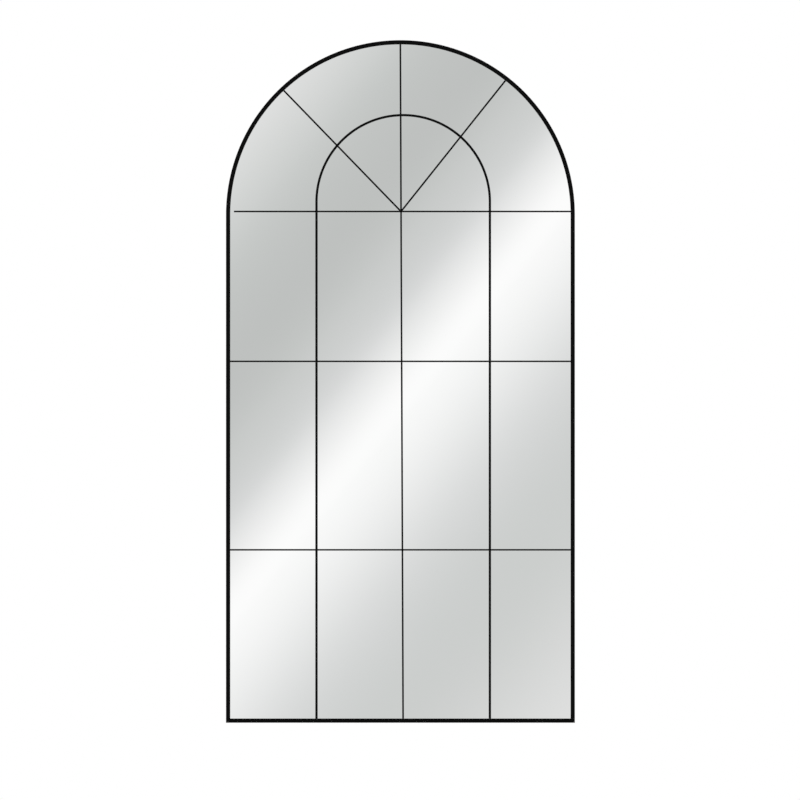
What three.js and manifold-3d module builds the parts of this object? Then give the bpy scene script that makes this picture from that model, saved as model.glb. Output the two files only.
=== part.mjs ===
// Arched window mirror: a steel angle frame with flat glazing bars over one silvered pane.
// Millimetres, +X right, +Z up. The front faces -Y and the wall is the plane y = 0.
// The origin lies on the wall, midway between the two wall screws that the hanging rings rest on.
import * as THREE from "three";
import { mergeVertices } from "three/addons/utils/BufferGeometryUtils.js";
import Module from "manifold-3d";

const wasm = await Module();
wasm.setup();

// ---------- sizes ----------

// Frame, a steel angle in five lengths
const width = 920;
const height = 1800; // bottom edge to the crown of the arch
const faceWidth = 11.2; // front leg of the angle
const faceThickness = 2;
const sideThickness = 2; // rearward leg of the angle
const frameDepth = 25;
const brokenEdge = 0.4; // sharp edges taken off the steel

const gap = 0.3; // between two pieces that touch

// Glazing bars, flat strip in one layer on the pane
const barDepth = 3;
const hoopWidth = 6.3;
const hoopRadius = 228.6; // to the middle of the strip
const hoopOffset = 7.3; // its centre is right of the frame's
const hoopRise = 33.7; // its centre is above the frame's
const thinBarWidth = 4.6; // centre bar and spokes
const centreBarTopOffset = -0.2; // right of the frame's middle, at the crown
const centreBarFootOffset = 7.1; // the same at the bottom
const railWidth = 4.3;
const upperRailRise = 8.2; // above the arch's centre
const upperRailStop = 9.7; // from its free left end to the frame
const middleRailHeight = 953;
const lowerRailHeight = 456;
const leftSpokeAngle = 45.9; // degrees above the upper rail
const rightSpokeAngle = 51.5;

// Glazing: what lies behind the face, from front to back
const edgeRoom = 4.5; // from the frame's side to the pane's edge
const tapeThickness = 0.7;
const tapeWidth = 6;
const paneThickness = 4;
const linerThickness = 1;
const boardThickness = 5;
const blockLength = 60; // setting block under the pane
const blockSpacing = 460;

// Countersunk side screws
const screwRadius = 1.5;
const screwHeadRadius = 2.8;
const screwHeadDepth = 1.5;
const screwHeadSink = 0.2;
const screwLength = 6;
const driveRadius = 1;
const driveDepth = 1;

// Retaining clips, angles of thin steel
const clipThickness = 1.5;
const clipLength = 20;
const clipReach = 16;
const clipBend = 1.8; // outside radius
const clipSetback = 2; // from its end to the frame's back edge
const clipsPerStile = 2;
const clipsOnArch = 4;
const clipsOnRail = 2;

// Hanging bar across the back, with its two ring hangers
const hangBarHeight = 50;
const hangBarThickness = 3;
const hangBarTop = 38; // below the arch's centre
const hangBarScrewSpacing = 30;
const hangerSpacing = 600;
const strapWidth = 14;
const strapThickness = 1.5;
const strapLength = 46; // below the ring's pivot
const strapScrewDrops = [28, 39]; // below the ring's pivot
const strapScrewRadius = 2;
const strapScrewHeadRadius = 3.5;
const strapScrewHeadHeight = 2;
const pivotDrop = 2; // below the bar's top edge
const ringWire = 4; // diameter
const ringHalfWidth = 11; // to the middle of the wire
const ringLeg = 8;
const ringCorner = 3;

// Rubber bumpers between the frame and the wall
const bumperThickness = 3;
const bumperWidth = 12;
const bumperLength = 30;
const bumperLegDepth = 8;
const lowerBumperHeight = 60; // its middle above the bottom edge
const upperBumperDrop = 160; // its middle below the arch's centre

// How finely round shapes are cut
const archSteps = 60;
const hoopSteps = 40;
const roundSteps = 12;
const bendSteps = 3;
const driveSides = 6;
const wireSteps = 36;
const wireSides = 8;

// ---------- sizes that follow ----------

const outerRadius = width / 2;
const archHeight = height - outerRadius; // the arch's centre above the bottom edge
const clearInset = faceWidth + gap; // from the outside to where a bar may start
const paneInset = sideThickness + edgeRoom;
const tapeInset = faceWidth - tapeWidth - gap;

const tapeFront = faceThickness + gap;
const paneFront = tapeFront + tapeThickness + gap;
const paneBack = paneFront + paneThickness;
const linerFront = paneBack + gap;
const boardFront = linerFront + linerThickness + gap;
const boardBack = boardFront + boardThickness;
const clipFront = boardBack + gap;
const clipEnd = frameDepth - clipSetback;
const screwDepth = (clipFront + clipThickness + clipEnd) / 2;

const clipSide = sideThickness + gap; // from the outside to a piece on the frame's side
const hangBarBack = clipFront + hangBarThickness;
const strapFront = hangBarBack + gap;
const strapBack = strapFront + strapThickness;
const knuckleBore = ringWire / 2 + gap;
const knuckleRadius = knuckleBore + strapThickness;
const pivotDepth = strapFront + knuckleRadius;
const hangBarTopHeight = archHeight - hangBarTop;
const pivotHeight = hangBarTopHeight - pivotDrop;
const ringInnerDrop = ringLeg + ringHalfWidth - ringWire / 2;

const wallDepth = frameDepth + gap + bumperThickness;
const wallScrewHeight = pivotHeight + ringInnerDrop; // the rings turned up on the wall screws

// ---------- materials ----------

const finish = (color, roughness, metalness) =>
  new THREE.MeshStandardMaterial({ color, roughness, metalness, flatShading: true });
const blackSteel = finish("#17181a", 0.55, 0.3);
const silveredGlass = finish("#d3d8d6", 0.04, 1);
const zincSteel = finish("#b9bdc0", 0.35, 0.9);
const darkRubber = finish("#232323", 0.85, 0);
const foam = finish("#e4e4df", 0.9, 0);
const fibreboard = finish("#a5825c", 0.8, 0);

// ---------- shape helpers ----------

const radians = THREE.MathUtils.degToRad;
const overcut = 1; // a cutter stands this far out of what it cuts

function solid(geometry) {
  const bare = geometry.clone();
  bare.deleteAttribute("normal");
  bare.deleteAttribute("uv");
  const merged = mergeVertices(bare, 1e-4);
  return new wasm.Manifold(
    new wasm.Mesh({
      numProp: 3,
      vertProperties: merged.attributes.position.array,
      triVerts: new Uint32Array(merged.index.array),
    }),
  );
}

function geometryOf(made) {
  const { vertProperties, triVerts } = made.getMesh();
  const geometry = new THREE.BufferGeometry();
  geometry.setAttribute("position", new THREE.BufferAttribute(vertProperties, 3));
  geometry.setIndex(new THREE.BufferAttribute(triVerts, 1));
  geometry.computeVertexNormals();
  return geometry;
}

const common = (a, b) => geometryOf(solid(a).intersect(solid(b)));
const cut = (shape, ...tools) =>
  geometryOf(tools.map(solid).reduce((left, tool) => left.subtract(tool), solid(shape)));

const outline = (points) => new THREE.Shape(points.map(([x, z]) => new THREE.Vector2(x, z)));

// An outline in the plane of the mirror made into a plate from one depth to another.
function plate(shape, front, back, edge = 0, steps = archSteps) {
  return new THREE.ExtrudeGeometry(shape, {
    depth: back - front - 2 * edge,
    bevelEnabled: edge > 0,
    bevelThickness: edge,
    bevelSize: edge,
    bevelOffset: -edge,
    bevelSegments: 1,
    curveSegments: steps,
  })
    .rotateX(Math.PI / 2)
    .translate(0, back - edge, 0);
}

// A side profile (inwards, depth) made into a bar along the frame's edge, centred on its place.
function bar(profile, length) {
  return new THREE.ExtrudeGeometry(profile, {
    depth: length,
    bevelEnabled: false,
    curveSegments: bendSteps,
  }).translate(0, 0, -length / 2);
}

// A turned shape that starts at the given place and points along +X.
const turned = (points, place = [0, 0, 0]) =>
  new THREE.LatheGeometry(
    points.map(([radius, along]) => new THREE.Vector2(radius, along)),
    roundSteps,
  )
    .rotateZ(-Math.PI / 2)
    .translate(...place);

// The frame's outline moved inwards by a distance.
function archOutline(inset) {
  const half = outerRadius - inset;
  const shape = new THREE.Shape();
  shape.moveTo(-half, inset);
  shape.lineTo(half, inset);
  shape.lineTo(half, archHeight);
  shape.absarc(0, archHeight, half, 0, Math.PI, false);
  return shape;
}

// A place on the frame's outside, with +X inwards and +Y to the back.
function station(x, z, turn) {
  const group = new THREE.Group();
  group.position.set(x, 0, z);
  group.rotation.y = turn;
  group.updateMatrix();
  return group;
}

const at = (place, geometry) => geometry.applyMatrix4(place.matrix);
const leftStation = (z) => station(-outerRadius, z, 0);
const rightStation = (z) => station(outerRadius, z, Math.PI);
const footStation = (x) => station(x, 0, -Math.PI / 2);
const archStation = (angle) =>
  station(
    outerRadius * Math.cos(angle),
    archHeight + outerRadius * Math.sin(angle),
    Math.PI - angle,
  );

// ---------- side screws and what they hold ----------

const screwNeck = screwHeadSink + screwHeadDepth;
const screwPlace = (side) => [0, screwDepth, side];
const driveCutter = () =>
  new THREE.CylinderGeometry(driveRadius, driveRadius, driveDepth + overcut, driveSides);

function sideScrew(side = 0) {
  const profile = [
    [0, screwHeadSink],
    [screwHeadRadius, screwHeadSink],
    [screwRadius, screwNeck],
    [screwRadius, screwLength],
    [0, screwLength],
  ];
  const drive = driveCutter()
    .rotateZ(Math.PI / 2)
    .translate(screwHeadSink + (driveDepth - overcut) / 2, screwDepth, side);
  return cut(turned(profile, screwPlace(side)), drive);
}

function sideHole(side = 0) {
  const headHole = screwHeadRadius + gap;
  const shankHole = screwRadius + gap;
  const profile = [
    [0, -overcut],
    [headHole, -overcut],
    [headHole, screwHeadSink],
    [shankHole, screwNeck],
    [shankHole, screwLength + overcut],
    [0, screwLength + overcut],
  ];
  return turned(profile, screwPlace(side));
}

function clip() {
  const inner = clipSide + clipThickness;
  const profile = new THREE.Shape();
  profile.moveTo(clipSide, clipEnd);
  profile.lineTo(clipSide, clipFront + clipBend);
  profile.absarc(clipSide + clipBend, clipFront + clipBend, clipBend, Math.PI, 1.5 * Math.PI);
  profile.lineTo(clipSide + clipReach, clipFront);
  profile.lineTo(clipSide + clipReach, clipFront + clipThickness);
  profile.lineTo(inner, clipFront + clipThickness);
  profile.lineTo(inner, clipEnd);
  return cut(bar(profile, clipLength), sideHole());
}

// ---------- places along the frame ----------

const hangBarMiddle = hangBarTopHeight - hangBarHeight / 2;
const hangBarScrewSides = [-hangBarScrewSpacing / 2, hangBarScrewSpacing / 2];
const evenly = (count, place) => Array.from({ length: count }, (_, i) => place(i));

const stileClipStep = (hangBarTopHeight - hangBarHeight) / (clipsPerStile + 1);
const stileClipHeights = evenly(clipsPerStile, (i) => (i + 1) * stileClipStep);
const archClipAngles = evenly(clipsOnArch, (i) => ((i + 0.5) * Math.PI) / clipsOnArch);
const railClipPlaces = evenly(clipsOnRail, (i) => -outerRadius + ((i + 0.5) * width) / clipsOnRail);

const clipStations = {
  left: stileClipHeights.map(leftStation),
  right: stileClipHeights.map(rightStation),
  arch: archClipAngles.map(archStation),
  foot: railClipPlaces.map(footStation),
};
const barStations = { left: leftStation(hangBarMiddle), right: rightStation(hangBarMiddle) };

// ---------- frame ----------

const weld = gap / 2;
const mitreWeld = weld * Math.SQRT2;

// Half of the arch, an outline that leaves room for half a weld at each end.
const archHalf = (start) => (reach) => {
  const end = start + Math.PI / 2;
  const inner = outerRadius - reach;
  const weldAngle = (radius) => Math.asin(weld / radius);
  const [outerTurn, innerTurn] = [outerRadius, inner].map(weldAngle);
  const shape = new THREE.Shape();
  shape.absarc(0, archHeight, outerRadius, start + outerTurn, end - outerTurn, false);
  shape.absarc(0, archHeight, inner, end - innerTurn, start + innerTurn, true);
  return shape;
};

// Each member's outline for a leg that reaches inwards from the outside by a distance.
const memberOutlines = {
  left_stile: (reach) =>
    outline([
      [-outerRadius, mitreWeld],
      [-outerRadius + reach, reach + mitreWeld],
      [-outerRadius + reach, archHeight - weld],
      [-outerRadius, archHeight - weld],
    ]),
  right_stile: (reach) =>
    outline([
      [outerRadius, mitreWeld],
      [outerRadius, archHeight - weld],
      [outerRadius - reach, archHeight - weld],
      [outerRadius - reach, reach + mitreWeld],
    ]),
  bottom_rail: (reach) =>
    outline([
      [-outerRadius + mitreWeld, 0],
      [outerRadius - mitreWeld, 0],
      [outerRadius - mitreWeld - reach, reach],
      [-outerRadius + mitreWeld + reach, reach],
    ]),
  arch_head_right: archHalf(0),
  arch_head_left: archHalf(Math.PI / 2),
};

// A solid length of the frame's outside with the room for the glazing cut out of its back.
function member(name, holes) {
  const whole = plate(memberOutlines[name](faceWidth), 0, frameDepth, brokenEdge, archSteps / 2);
  const room = plate(archOutline(sideThickness), faceThickness, frameDepth + overcut);
  return cut(whole, room, ...holes);
}

const holesAt = (stations) => stations.map((place) => at(place, sideHole()));
const barHolesAt = (place) => hangBarScrewSides.map((side) => at(place, sideHole(side)));

const framePieces = {
  arch_head_left: member("arch_head_left", holesAt(clipStations.arch)),
  arch_head_right: member("arch_head_right", holesAt(clipStations.arch)),
  left_stile: member("left_stile", [
    ...holesAt(clipStations.left),
    ...barHolesAt(barStations.left),
  ]),
  right_stile: member("right_stile", [
    ...holesAt(clipStations.right),
    ...barHolesAt(barStations.right),
  ]),
  bottom_rail: member("bottom_rail", holesAt(clipStations.foot)),
};

// ---------- glazing bars ----------

const upperRailHeight = archHeight + upperRailRise;
const hubOffset = THREE.MathUtils.mapLinear(
  upperRailHeight,
  0,
  height,
  centreBarFootOffset,
  centreBarTopOffset,
);

// A straight strip's outline, its width grown by a clearance on each side.
function stripOutline([x0, z0], [x1, z1], stripWidth, clearance) {
  const along = new THREE.Vector2(x1 - x0, z1 - z0).normalize();
  const half = stripWidth / 2 + clearance;
  const side = [-along.y * half, along.x * half];
  return outline([
    [x0 - side[0], z0 - side[1]],
    [x1 - side[0], z1 - side[1]],
    [x1 + side[0], z1 + side[1]],
    [x0 + side[0], z0 + side[1]],
  ]);
}

function hoopOutline(clearance) {
  const centre = archHeight + hoopRise;
  const outside = hoopRadius + hoopWidth / 2 + clearance;
  const inside = hoopRadius - hoopWidth / 2 - clearance;
  const shape = new THREE.Shape();
  shape.moveTo(hoopOffset + outside, 0);
  shape.lineTo(hoopOffset + outside, centre);
  shape.absarc(hoopOffset, centre, outside, 0, Math.PI, false);
  shape.lineTo(hoopOffset - outside, 0);
  shape.lineTo(hoopOffset - inside, 0);
  shape.lineTo(hoopOffset - inside, centre);
  shape.absarc(hoopOffset, centre, inside, Math.PI, 0, true);
  shape.lineTo(hoopOffset + inside, 0);
  return shape;
}

function spoke(degrees, direction) {
  const angle = radians(degrees);
  const hub = [hubOffset, upperRailHeight];
  const end = [
    hub[0] + direction * width * Math.cos(angle),
    hub[1] + width * Math.sin(angle),
  ];
  return (clearance) => stripOutline(hub, end, thinBarWidth, clearance);
}

const rail = (z, left = -outerRadius) => (clearance) =>
  stripOutline([left, z], [outerRadius, z], railWidth, clearance);

const centreBar = (clearance) =>
  stripOutline([centreBarFootOffset, 0], [centreBarTopOffset, height], thinBarWidth, clearance);

// In the order in which they keep their front half where two of them cross.
const barOutlines = {
  inner_hoop: hoopOutline,
  centre_bar: centreBar,
  upper_rail: rail(upperRailHeight, -outerRadius + faceWidth + upperRailStop),
  middle_rail: rail(middleRailHeight),
  lower_rail: rail(lowerRailHeight),
  left_spoke: spoke(leftSpokeAngle, -1),
  right_spoke: spoke(rightSpokeAngle, 1),
};
const spokeNames = ["left_spoke", "right_spoke"];
const hubNames = ["centre_bar", "upper_rail"]; // the spokes stop against these

const barFrom = (shape, front, back, edge = 0) => plate(shape, front, back, edge, hoopSteps);

function glazingBar(name) {
  const names = Object.keys(barOutlines);
  const rank = names.indexOf(name);
  const halfDepth = barDepth / 2;
  const whole = barFrom(barOutlines[name](0), 0, barDepth, brokenEdge);
  const opening = plate(archOutline(clearInset), -overcut, barDepth + overcut);
  const notches = names
    .filter((other) => other !== name)
    .map((other) => {
      const across = barOutlines[other](gap);
      const meetsAtHub = spokeNames.includes(name) && hubNames.includes(other);
      const stopsHere = hubNames.includes(name) && spokeNames.includes(other);
      if (meetsAtHub) return barFrom(across, -overcut, barDepth + overcut);
      if (stopsHere) return null;
      return rank < names.indexOf(other)
        ? barFrom(across, halfDepth - gap / 2, barDepth + overcut)
        : barFrom(across, -overcut, halfDepth + gap / 2);
    })
    .filter(Boolean);
  return cut(common(whole, opening), ...notches);
}

// ---------- glazing ----------

function glazingTape() {
  const shape = archOutline(tapeInset);
  shape.holes.push(archOutline(tapeInset + tapeWidth));
  return plate(shape, tapeFront, tapeFront + tapeThickness);
}

const settingBlock = new THREE.BoxGeometry(
  blockLength,
  boardBack - paneFront,
  edgeRoom - 2 * gap,
).translate(0, (paneFront + boardBack) / 2, sideThickness + edgeRoom / 2);

// ---------- hanging bar and ring hangers ----------

const hangerSides = [-hangerSpacing / 2, hangerSpacing / 2];
const strapHoleRadius = strapScrewRadius + gap;

function strapScrewHole(x, drop) {
  const depth = strapBack - clipFront + 2 * overcut;
  return new THREE.CylinderGeometry(strapHoleRadius, strapHoleRadius, depth, roundSteps)
    .translate(x, (clipFront + strapBack) / 2, pivotHeight - drop);
}

// A flat strip between the two flanges that are welded to its ends.
function hangingBar() {
  const length = width - 2 * (clipSide + hangBarThickness + gap);
  const strip = new THREE.BoxGeometry(length, hangBarThickness, hangBarHeight)
    .translate(0, (clipFront + hangBarBack) / 2, hangBarMiddle);
  const strapHoles = hangerSides.flatMap((x) => strapScrewDrops.map((d) => strapScrewHole(x, d)));
  return cut(strip, ...strapHoles);
}

function hangingBarFlange() {
  const flange = new THREE.BoxGeometry(hangBarThickness, clipEnd - clipFront, hangBarHeight)
    .translate(clipSide + hangBarThickness / 2, (clipFront + clipEnd) / 2, 0);
  return cut(flange, ...hangBarScrewSides.map(sideHole));
}

// The strap's profile in depth and height: a flat tail and a knuckle rolled round the ring.
function hangerStrap() {
  const rollEnd = Math.PI + Math.acos((knuckleRadius - strapThickness) / knuckleRadius);
  const profile = new THREE.Shape();
  profile.moveTo(-knuckleRadius, -strapLength);
  profile.lineTo(-knuckleRadius, 0);
  profile.absarc(0, 0, knuckleRadius, Math.PI, rollEnd - 2 * Math.PI, true);
  profile.lineTo(strapThickness - knuckleRadius, -strapLength);
  const bore = new THREE.Path();
  bore.absarc(0, 0, knuckleBore, 0, 2 * Math.PI, false);
  profile.holes.push(bore);
  const strap = new THREE.ExtrudeGeometry(profile, {
    depth: strapWidth,
    bevelEnabled: false,
    curveSegments: roundSteps,
  })
    .translate(0, 0, -strapWidth / 2)
    .applyMatrix4(
      new THREE.Matrix4().makeBasis(
        new THREE.Vector3(0, 1, 0),
        new THREE.Vector3(0, 0, 1),
        new THREE.Vector3(1, 0, 0),
      ),
    )
    .translate(0, pivotDepth, pivotHeight);
  return cut(strap, ...strapScrewDrops.map((drop) => strapScrewHole(0, drop)));
}

// A bent wire whose two ends meet in the knuckle. It hangs down from its pivot.
function hangingRing() {
  const path = new THREE.Path();
  const half = ringHalfWidth;
  path.moveTo(gap / 2, 0);
  path.lineTo(half - ringCorner, 0);
  path.absarc(half - ringCorner, -ringCorner, ringCorner, Math.PI / 2, 0, true);
  path.lineTo(half, -ringLeg);
  path.absarc(0, -ringLeg, half, 0, -Math.PI, true);
  path.lineTo(-half, -ringCorner);
  path.absarc(-half + ringCorner, -ringCorner, ringCorner, Math.PI, Math.PI / 2, true);
  path.lineTo(-gap / 2, 0);
  const middle = path
    .getSpacedPoints(wireSteps)
    .map(({ x, y }) => new THREE.Vector3(x, pivotDepth, y + pivotHeight));
  const section = new THREE.Shape().absarc(0, 0, ringWire / 2, 0, 2 * Math.PI, false);
  return new THREE.ExtrudeGeometry(section, {
    steps: wireSteps,
    curveSegments: wireSides / 2,
    extrudePath: new THREE.CatmullRomCurve3(middle),
  });
}

// A pan head on the strap, and a shank that ends in the hanging bar.
function strapScrew() {
  const headBack = strapBack + gap + strapScrewHeadHeight;
  const crown = strapScrewHeadHeight * 0.4;
  const points = [
    [0, clipFront],
    [strapScrewRadius, clipFront],
    [strapScrewRadius, strapBack + gap],
    [strapScrewHeadRadius, strapBack + gap],
    [strapScrewHeadRadius, headBack - crown],
    [strapScrewHeadRadius - crown, headBack],
    [0, headBack],
  ];
  const body = new THREE.LatheGeometry(
    points.map(([radius, along]) => new THREE.Vector2(radius, along)),
    roundSteps,
  );
  const drive = driveCutter().translate(0, headBack - (driveDepth - overcut) / 2, 0);
  return cut(body, drive);
}

// ---------- bumpers ----------

const bumperBack = frameDepth + gap;
const bumper = bar(
  outline([
    [0, bumperBack],
    [clipSide, bumperBack],
    [clipSide, bumperBack - bumperLegDepth],
    [clipSide + bumperThickness, bumperBack - bumperLegDepth],
    [clipSide + bumperThickness, bumperBack],
    [bumperWidth, bumperBack],
    [bumperWidth, wallDepth],
    [0, wallDepth],
  ]),
  bumperLength,
);

// ---------- assembly ----------

// Pieces are placed from the front face and the bottom edge, and the whole is moved to the wall.
const assembly = new THREE.Group();
assembly.position.set(0, -wallDepth, -wallScrewHeight);

function add(name, geometry, material, parent = assembly) {
  const mesh = new THREE.Mesh(geometry, material);
  mesh.name = name;
  parent.add(mesh);
  return mesh;
}

for (const [name, geometry] of Object.entries(framePieces)) add(name, geometry, blackSteel);
for (const name of Object.keys(barOutlines)) add(name, glazingBar(name), blackSteel);

add("glazing_tape", glazingTape(), darkRubber);
add("mirror_pane", plate(archOutline(paneInset), paneFront, paneBack, brokenEdge), silveredGlass);
add("foam_liner", plate(archOutline(paneInset), linerFront, linerFront + linerThickness), foam);
add("backing_board", plate(archOutline(paneInset), boardFront, boardBack), fibreboard);

const sides = ["left", "right"];
sides.forEach((side, i) => {
  const sign = i === 0 ? -1 : 1;
  add(`setting_block_${side}`, settingBlock, darkRubber).position.x = (sign * blockSpacing) / 2;
});

const clipNames = [];
for (const [place, stations] of Object.entries(clipStations)) {
  stations.forEach((group, i) => {
    const name = `${place}_clip_${i + 1}`;
    add(name, clip(), zincSteel, group);
    add(`${name}_screw`, sideScrew(), zincSteel, group);
    assembly.add(group);
    clipNames.push(name);
  });
}

add("hanging_bar", hangingBar(), blackSteel);
sides.forEach((side, i) => {
  add(`hanging_bar_${side}_flange`, hangingBarFlange(), blackSteel, barStations[side]);
  hangBarScrewSides.forEach((place, j) => {
    add(`hanging_bar_${side}_screw_${j + 1}`, sideScrew(place), zincSteel, barStations[side]);
  });
  assembly.add(barStations[side]);

  const hanger = new THREE.Group();
  hanger.position.x = hangerSides[i];
  add(`${side}_hanger_strap`, hangerStrap(), zincSteel, hanger);
  add(`${side}_hanger_ring`, hangingRing(), zincSteel, hanger);
  strapScrewDrops.forEach((drop, j) => {
    const screw = add(`${side}_hanger_screw_${j + 1}`, strapScrew(), zincSteel, hanger);
    screw.position.z = pivotHeight - drop;
  });
  assembly.add(hanger);
});

const bumperHeights = { lower: lowerBumperHeight, upper: archHeight - upperBumperDrop };
for (const [level, z] of Object.entries(bumperHeights)) {
  [leftStation(z), rightStation(z)].forEach((place, i) => {
    add(`${level}_${sides[i]}_bumper`, bumper, darkRubber, place);
    assembly.add(place);
  });
}

const mirror = new THREE.Group();
mirror.add(assembly);

export default mirror;
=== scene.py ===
"""A tall arched mirror barred like a window: black powder-coated steel angle and strip over one
silvered pane, with its board, clips and ring hangers on the back. Metres, +Z up, front to -Y."""

import math

import bmesh
import bpy
from mathutils import Matrix, Vector


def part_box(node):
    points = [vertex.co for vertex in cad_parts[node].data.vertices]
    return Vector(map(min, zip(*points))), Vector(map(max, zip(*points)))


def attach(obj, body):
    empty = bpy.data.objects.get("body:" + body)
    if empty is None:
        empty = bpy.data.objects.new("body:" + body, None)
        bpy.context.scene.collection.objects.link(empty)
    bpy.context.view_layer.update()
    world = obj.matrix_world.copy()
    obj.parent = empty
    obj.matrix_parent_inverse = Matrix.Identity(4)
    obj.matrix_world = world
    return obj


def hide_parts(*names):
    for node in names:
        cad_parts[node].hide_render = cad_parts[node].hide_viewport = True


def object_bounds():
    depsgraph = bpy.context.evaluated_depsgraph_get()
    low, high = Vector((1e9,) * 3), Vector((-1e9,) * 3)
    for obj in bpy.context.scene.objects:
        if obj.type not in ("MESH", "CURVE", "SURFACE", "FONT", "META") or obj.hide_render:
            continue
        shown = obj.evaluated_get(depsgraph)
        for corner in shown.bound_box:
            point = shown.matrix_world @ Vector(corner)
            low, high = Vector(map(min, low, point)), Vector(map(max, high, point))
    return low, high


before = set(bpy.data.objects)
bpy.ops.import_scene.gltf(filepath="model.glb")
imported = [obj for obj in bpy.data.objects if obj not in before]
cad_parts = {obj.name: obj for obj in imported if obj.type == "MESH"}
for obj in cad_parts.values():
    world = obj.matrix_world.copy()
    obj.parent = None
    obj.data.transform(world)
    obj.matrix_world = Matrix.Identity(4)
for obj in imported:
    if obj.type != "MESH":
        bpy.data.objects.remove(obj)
cad_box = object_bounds()

MM = 0.001

# ---------- sizes taken from the frame ----------

LOW, HIGH = cad_box
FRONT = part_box("bottom_rail")[0].y
FOOT = LOW.z
FRAME_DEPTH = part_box("bottom_rail")[1].y - FRONT
OUTER_RADIUS = (HIGH.x - LOW.x) / 2
ARCH_Z = HIGH.z - OUTER_RADIUS
FACE_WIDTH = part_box("left_stile")[1].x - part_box("left_stile")[0].x

# ---------- sizes of the pieces ----------

FACE_THICKNESS = 2 * MM
SIDE_THICKNESS = 2 * MM
EDGE_RADIUS = 0.5 * MM  # what filing and powder leave of a sheared edge
ROOT_RADIUS = 1.5 * MM  # inside the angle
SEAM = 0.03 * MM  # left where two welded pieces meet

HOOP_WIDTH = 6.3 * MM
THIN_BAR_WIDTH = 4.6 * MM
SCREW_SINK = 0.2 * MM
SCREW_HEAD_RADIUS = 2.8 * MM
SCREW_HEAD_DEPTH = 1.5 * MM
SCREW_RADIUS = 1.5 * MM
THREAD_DEPTH = 0.25 * MM
CLIP_THICKNESS = 1.5 * MM
CLIP_BEND = 1.8 * MM
CLIP_CORNER = 4 * MM
STRAP_THICKNESS = 1.5 * MM
STRAP_CORNER = 5 * MM
RING_WIRE = 4 * MM
RING_CORNER = 3 * MM
RING_LEG = 8 * MM
BUMPER_THICKNESS = 3 * MM
STRAP_BORE_RADIUS = 2.2 * MM
BAR_BORE_RADIUS = 2.1 * MM
PANE_ARRIS = 0.5 * MM
BOARD_ARRIS = 0.3 * MM
FOAM_ARRIS = 0.1 * MM
CUT_MARGIN = 5 * MM  # how far a cutter reaches past what it cuts
TIP_RADIUS = 0.01 * MM  # of the tiny flat that ends a turned profile

ARCH_STEPS = 180
HOOP_STEPS = 120
ROUND_STEPS = 32
CORNER_STEPS = 4
SMOOTH_ANGLE = 40  # degrees between two faces that still look like one surface
TURNED_SMOOTH_ANGLE = 30


def depth(distance):
    """Y at a distance behind the frame's face."""
    return FRONT + distance


# ---------- mesh helpers ----------


def finished(name, mesh, smooth_angle=SMOOTH_ANGLE):
    """Makes a bmesh into an object, smooth except over sharp edges."""
    bmesh.ops.remove_doubles(mesh, verts=mesh.verts, dist=1e-7)
    bmesh.ops.recalc_face_normals(mesh, faces=mesh.faces)
    data = bpy.data.meshes.new(name)
    mesh.to_mesh(data)
    mesh.free()
    data.shade_smooth()
    data.set_sharp_from_angle(angle=math.radians(smooth_angle))
    piece = bpy.data.objects.new(name, data)
    bpy.context.scene.collection.objects.link(piece)
    return piece


def joined_rings(mesh, rings):
    """Faces between one ring of vertices and the next, with a cap at each end."""
    for near, far in zip(rings, rings[1:]):
        count = len(near)
        for i in range(count):
            j = (i + 1) % count
            mesh.faces.new((near[i], near[j], far[j], far[i]))
    mesh.faces.new(rings[0])
    mesh.faces.new(rings[-1])


def swept(name, stations, section):
    """Carries a section (across, back) along stations (place, across vector, back vector)."""
    mesh = bmesh.new()
    rings = [
        [mesh.verts.new(place + across * a + back * b) for a, b in section]
        for place, across, back in stations
    ]
    joined_rings(mesh, rings)
    return finished(name, mesh)


def turned(name, profile):
    """Turns a profile (radius, along) about X, and closes it with a flat at each end."""
    mesh = bmesh.new()
    turns = [2 * math.pi * i / ROUND_STEPS for i in range(ROUND_STEPS)]
    rings = [
        [mesh.verts.new((x, r * math.cos(t), r * math.sin(t))) for t in turns]
        for r, x in profile
    ]
    joined_rings(mesh, rings)
    return finished(name, mesh, TURNED_SMOOTH_ANGLE)


def rounded(corners, radius):
    """A polygon with its corners rounded. A corner may carry its own radius as a third value."""
    points = []
    count = len(corners)
    for i, corner in enumerate(corners):
        here = Vector(corner[:2])
        r = corner[2] if len(corner) > 2 else radius
        to_last = (Vector(corners[i - 1][:2]) - here).normalized()
        to_next = (Vector(corners[(i + 1) % count][:2]) - here).normalized()
        if r <= 0:
            points.append(tuple(here))
            continue
        half_angle = to_last.angle(to_next) / 2
        start = here + to_last * (r / math.tan(half_angle))
        middle = here + (to_last + to_next).normalized() * (r / math.sin(half_angle))
        first = start - middle
        sweep = math.pi - 2 * half_angle
        way = 1 if to_last.cross(to_next) < 0 else -1
        for k in range(CORNER_STEPS + 1):
            turn = way * sweep * k / CORNER_STEPS
            point = middle + Matrix.Rotation(turn, 2) @ first
            points.append(tuple(point))
    return points


def arch_outline(inset):
    """The frame's outline moved inwards, as (x, z) from the foot round the arch."""
    half = OUTER_RADIUS - inset
    turns = [math.pi * i / ARCH_STEPS for i in range(ARCH_STEPS + 1)]
    arch = [(half * math.cos(t), ARCH_Z + half * math.sin(t)) for t in turns]
    return [(-half, FOOT + inset), (half, FOOT + inset)] + arch


def arch_plate(name, inset, front, back, arris):
    """A sheet cut to the arch, with its edges broken."""
    mesh = bmesh.new()
    layers = [(inset + arris, front), (inset, front + arris)]
    layers += [(inset, back - arris), (inset + arris, back)]
    rings = [
        [mesh.verts.new((x, depth(y), z)) for x, z in arch_outline(move)]
        for move, y in layers
    ]
    joined_rings(mesh, rings)
    return finished(name, mesh)


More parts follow.
